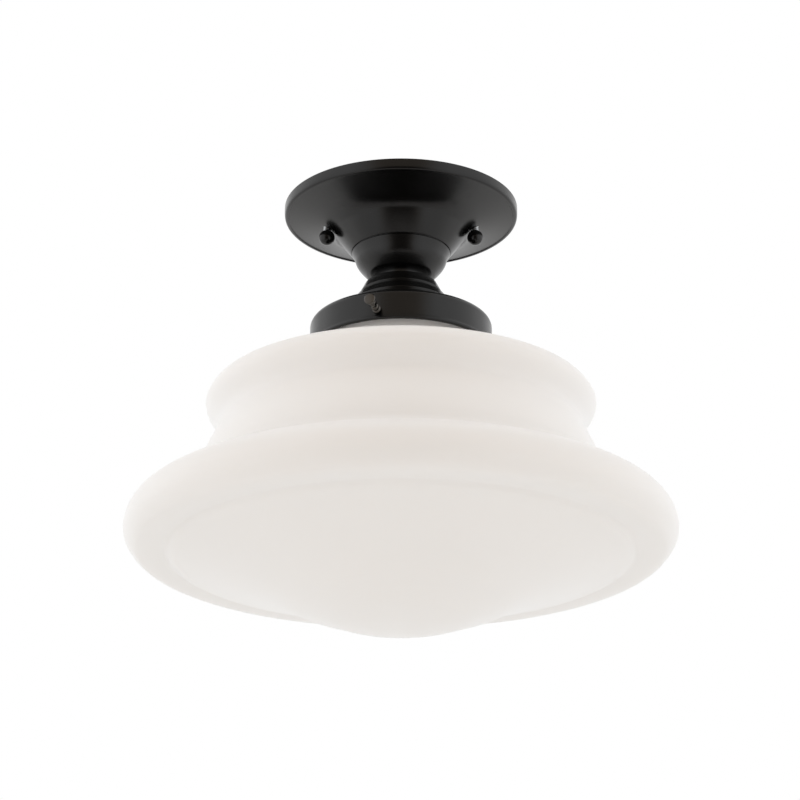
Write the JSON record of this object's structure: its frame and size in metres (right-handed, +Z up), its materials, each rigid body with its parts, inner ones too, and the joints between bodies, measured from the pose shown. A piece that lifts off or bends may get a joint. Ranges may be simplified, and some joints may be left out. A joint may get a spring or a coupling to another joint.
{
  "type": "semi flush ceiling light",
  "caption": "Semi flush ceiling light with a black spun canopy, a turned neck, a fitter with thumbscrews and a stepped white opal glass schoolhouse shade.",
  "frame": {"origin": "centre of the canopy's mouth, in the ceiling plane, midway between the two box screws", "axes": "+Z up into the ceiling; +X along the line of the two canopy studs, to the right as seen from the front; +Y away from the viewer"},
  "size_m": [0.3174, 0.3174, 0.26],
  "materials": {
    "black_enamel": "satin black enamel on spun steel",
    "opal_glass": "white opal glass, polished, translucent but not clear",
    "zinc_steel": "bright zinc plate on pressed steel",
    "green_zinc": "green dyed zinc plate",
    "tinned_copper": "tinned copper",
    "green_insulation": "extruded green insulation",
    "black_insulation": "extruded black insulation",
    "white_insulation": "extruded white insulation",
    "orange_plastic": "moulded orange plastic",
    "porcelain": null,
    "thread_brass": "rolled brass",
    "black_vitrite": "black fused glass insulator",
    "cap_aluminium": "rolled aluminium",
    "frosted_glass": "frosted lamp glass",
    "nylon": "natural nylon",
    "dark_bronze": "dark bronze plate under clear lacquer"
  },
  "bodies": {
    "fixture": {"canopy_dish": "black_enamel", "canopy_cup": "black_enamel", "neck_collar": "black_enamel", "shade_fitter": "black_enamel", "mounting_strap": "zinc_steel", "canopy_studs": "zinc_steel", "stud_lock_nuts": "zinc_steel", "ground_screw": "green_zinc", "ground_terminals": "tinned_copper", "ground_lead": "green_insulation", "black_lead": "black_insulation", "white_lead": "white_insulation", "wire_connectors": "orange_plastic", "centre_nipple": "zinc_steel", "upper_lock_washer": "zinc_steel", "upper_nipple_nut": "zinc_steel", "socket_bracket": "zinc_steel", "lower_lock_washer": "zinc_steel", "lower_nipple_nut": "zinc_steel", "holder_screws": "zinc_steel", "socket_body": "porcelain", "screw_shell": "thread_brass", "centre_contact": "thread_brass"},
    "shade": {"shade_glass": "opal_glass"},
    "lamp_contact": {"bulb_contact": "thread_brass"},
    "lamp": {"bulb_insulator": "black_vitrite", "bulb_cap": "cap_aluminium", "bulb_envelope": "frosted_glass"},
    "screw_tip_1": {"screw_tip_1": "nylon"},
    "thumb_screw_1": {"thumb_screw_1": "dark_bronze"},
    "screw_tip_2": {"screw_tip_2": "nylon"},
    "thumb_screw_2": {"thumb_screw_2": "dark_bronze"},
    "screw_tip_3": {"screw_tip_3": "nylon"},
    "thumb_screw_3": {"thumb_screw_3": "dark_bronze"},
    "knob_washer_1": {"knob_washer_1": "black_enamel"},
    "ball_knob_1": {"ball_knob_1": "dark_bronze"},
    "knob_washer_2": {"knob_washer_2": "black_enamel"},
    "ball_knob_2": {"ball_knob_2": "dark_bronze"}
  },
  "joints": [
    {"name": "shade_turn", "type": "hinge", "parent": "fixture", "child": "shade", "pos_m": [0, 0, -0.09], "axis": [0, 0, 1], "continuous": true},
    {"name": "lamp_travel", "type": "slide", "parent": "fixture", "child": "lamp_contact", "axis": [0, 0, -1], "range_m": [0, 0.025]},
    {"name": "lamp_turn", "type": "hinge", "parent": "lamp_contact", "child": "lamp", "pos_m": [0, 0, -0.12], "axis": [0, 0, -1], "range_deg": [0, 2490]},
    {"name": "thumb_screw_1_travel", "type": "slide", "parent": "fixture", "child": "screw_tip_1", "axis": [-0.2504, -0.9681, 0], "range_m": [0, 0.0035]},
    {"name": "thumb_screw_1_turn", "type": "hinge", "parent": "screw_tip_1", "child": "thumb_screw_1", "pos_m": [-0.01555, -0.06012, -0.0875], "axis": [-0.2504, -0.9681, 0], "range_deg": [0, 1592]},
    {"name": "thumb_screw_2_travel", "type": "slide", "parent": "fixture", "child": "screw_tip_2", "axis": [0.9636, 0.2672, 0], "range_m": [0, 0.0035]},
    {"name": "thumb_screw_2_turn", "type": "hinge", "parent": "screw_tip_2", "child": "thumb_screw_2", "pos_m": [0.05984, 0.0166, -0.0875], "axis": [0.9636, 0.2672, 0], "range_deg": [0, 1592]},
    {"name": "thumb_screw_3_travel", "type": "slide", "parent": "fixture", "child": "screw_tip_3", "axis": [-0.7133, 0.7009, 0], "range_m": [0, 0.0035]},
    {"name": "thumb_screw_3_turn", "type": "hinge", "parent": "screw_tip_3", "child": "thumb_screw_3", "pos_m": [-0.04429, 0.04353, -0.0875], "axis": [-0.7133, 0.7009, 0], "range_deg": [0, 1592]},
    {"name": "ball_knob_1_travel", "type": "slide", "parent": "fixture", "child": "knob_washer_1", "axis": [0, 0, -1], "range_m": [0, 0.003]},
    {"name": "ball_knob_1_turn", "type": "hinge", "parent": "knob_washer_1", "child": "ball_knob_1", "pos_m": [-0.04445, 0, -0.019], "axis": [0, 0, -1], "range_deg": [0, 1365]},
    {"name": "ball_knob_2_travel", "type": "slide", "parent": "fixture", "child": "knob_washer_2", "axis": [0, 0, -1], "range_m": [0, 0.003]},
    {"name": "ball_knob_2_turn", "type": "hinge", "parent": "knob_washer_2", "child": "ball_knob_2", "pos_m": [0.04445, 0, -0.019], "axis": [0, 0, -1], "range_deg": [0, 1365]}
  ],
  "couplings": [
    {"joint": "lamp_turn", "follows": "lamp_travel", "rad_per_m": 1730.9},
    {"joint": "thumb_screw_1_turn", "follows": "thumb_screw_1_travel", "rad_per_m": 7915.8},
    {"joint": "thumb_screw_2_turn", "follows": "thumb_screw_2_travel", "rad_per_m": 7915.8},
    {"joint": "thumb_screw_3_turn", "follows": "thumb_screw_3_travel", "rad_per_m": 7915.8},
    {"joint": "ball_knob_1_turn", "follows": "ball_knob_1_travel", "rad_per_m": 7915.8},
    {"joint": "ball_knob_2_turn", "follows": "ball_knob_2_travel", "rad_per_m": 7915.8}
  ]
}
